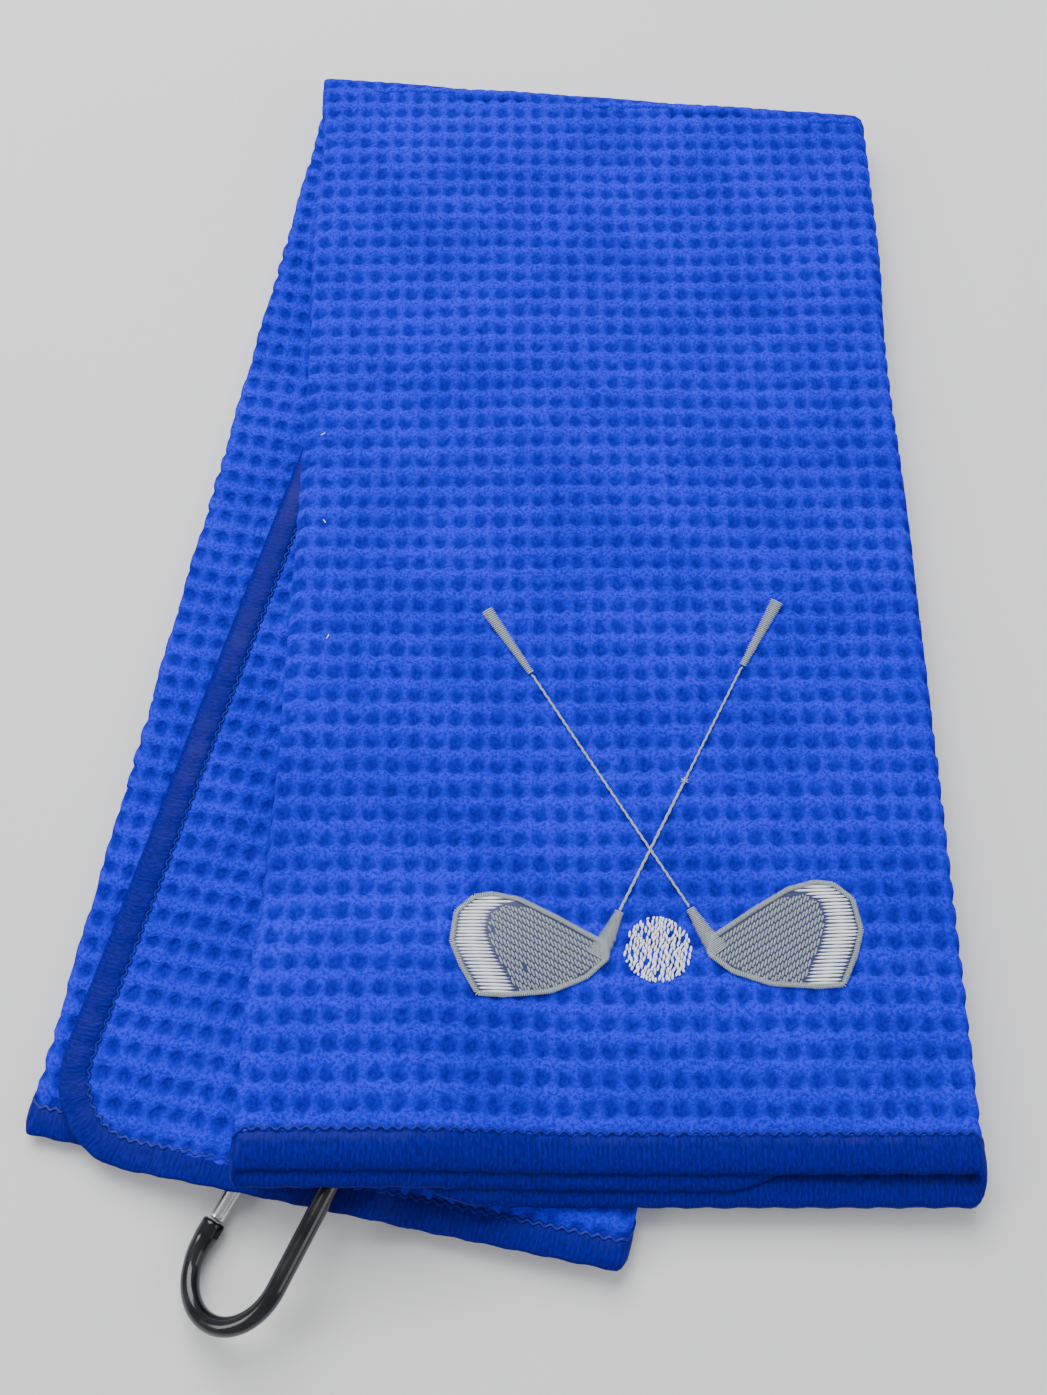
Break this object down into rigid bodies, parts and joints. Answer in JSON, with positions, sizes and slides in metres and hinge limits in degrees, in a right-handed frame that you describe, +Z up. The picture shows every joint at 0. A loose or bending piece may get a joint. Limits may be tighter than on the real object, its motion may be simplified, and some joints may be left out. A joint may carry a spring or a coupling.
{
  "type": "golf towel",
  "caption": "Waffle-weave sports towel with bound edges, folded in three and then in half, with embroidered clubs and ball, an eyelet and a small carabiner to hang it from a bag.",
  "frame": {"origin": "on the underside of the lower half, near its middle, where the towel rests on a surface", "axes": "+Z up off the surface, +Y towards the half fold, +X to the right seen from above with the half fold at the back"},
  "size_m": [0.2029, 0.3407, 0.0213],
  "materials": {
    "waffle_cloth": "matte waffle-weave microfibre",
    "binding": "smooth satin edge tape",
    "grey_thread": "rayon embroidery thread, soft sheen",
    "white_thread": "rayon embroidery thread, soft sheen",
    "black_coating": "gloss black coating",
    "polished_steel": "polished, lightly brushed along its length",
    "eyelet_metal": "nickel-plated"
  },
  "bodies": {
    "back_half": {"back_middle_panel": "waffle_cloth", "back_inner_flap": "waffle_cloth", "back_outer_flap": "waffle_cloth", "back_middle_hem": "binding", "back_inner_flap_side_hem": "binding", "back_inner_flap_hem": "binding", "back_outer_flap_side_hem": "binding", "back_outer_flap_hem": "binding", "top_fold": "waffle_cloth", "eyelet": "eyelet_metal", "eyelet_washer": "eyelet_metal"},
    "front_half": {"front_middle_panel": "waffle_cloth", "front_inner_flap": "waffle_cloth", "front_outer_flap": "waffle_cloth", "front_middle_hem": "binding", "front_inner_flap_side_hem": "binding", "front_inner_flap_hem": "binding", "front_outer_flap_side_hem": "binding", "front_outer_flap_hem": "binding", "left_club_grip": "grey_thread", "left_club_shaft": "grey_thread", "left_club_hosel": "grey_thread", "left_club_face": "grey_thread", "right_club_grip": "grey_thread", "right_club_upper_shaft": "grey_thread", "right_club_lower_shaft": "grey_thread", "right_club_hosel": "grey_thread", "right_club_face": "grey_thread", "left_club_toe": "white_thread", "right_club_toe": "white_thread", "golf_ball": "white_thread"},
    "carabiner": {"carabiner_frame": "black_coating"},
    "gate": {"carabiner_gate": "polished_steel", "gate_rivet": "polished_steel", "gate_spring": "polished_steel", "gate_catch": "polished_steel"}
  },
  "joints": [
    {"name": "half_fold", "type": "hinge", "parent": "back_half", "child": "front_half", "pos_m": [0.01965, 0.1469, 0.006], "axis": [-0.9955, 0.0943, 0], "range_deg": [0, 175], "deforming": ["top_fold"]},
    {"name": "carabiner_swivel", "type": "hinge", "parent": "back_half", "child": "carabiner", "pos_m": [-0.0385, -0.1296, 0.00765], "axis": [0, 0, 1], "range_deg": [-12, 12]},
    {"name": "gate_hinge", "type": "hinge", "parent": "carabiner", "child": "gate", "pos_m": [-0.05299, -0.13719, 0.0026], "axis": [-0.424, 0.2255, 0.8771], "range_deg": [0, 20], "stiffness_Nm_per_rad": 0.02, "springref_deg": -28.65}
  ]
}
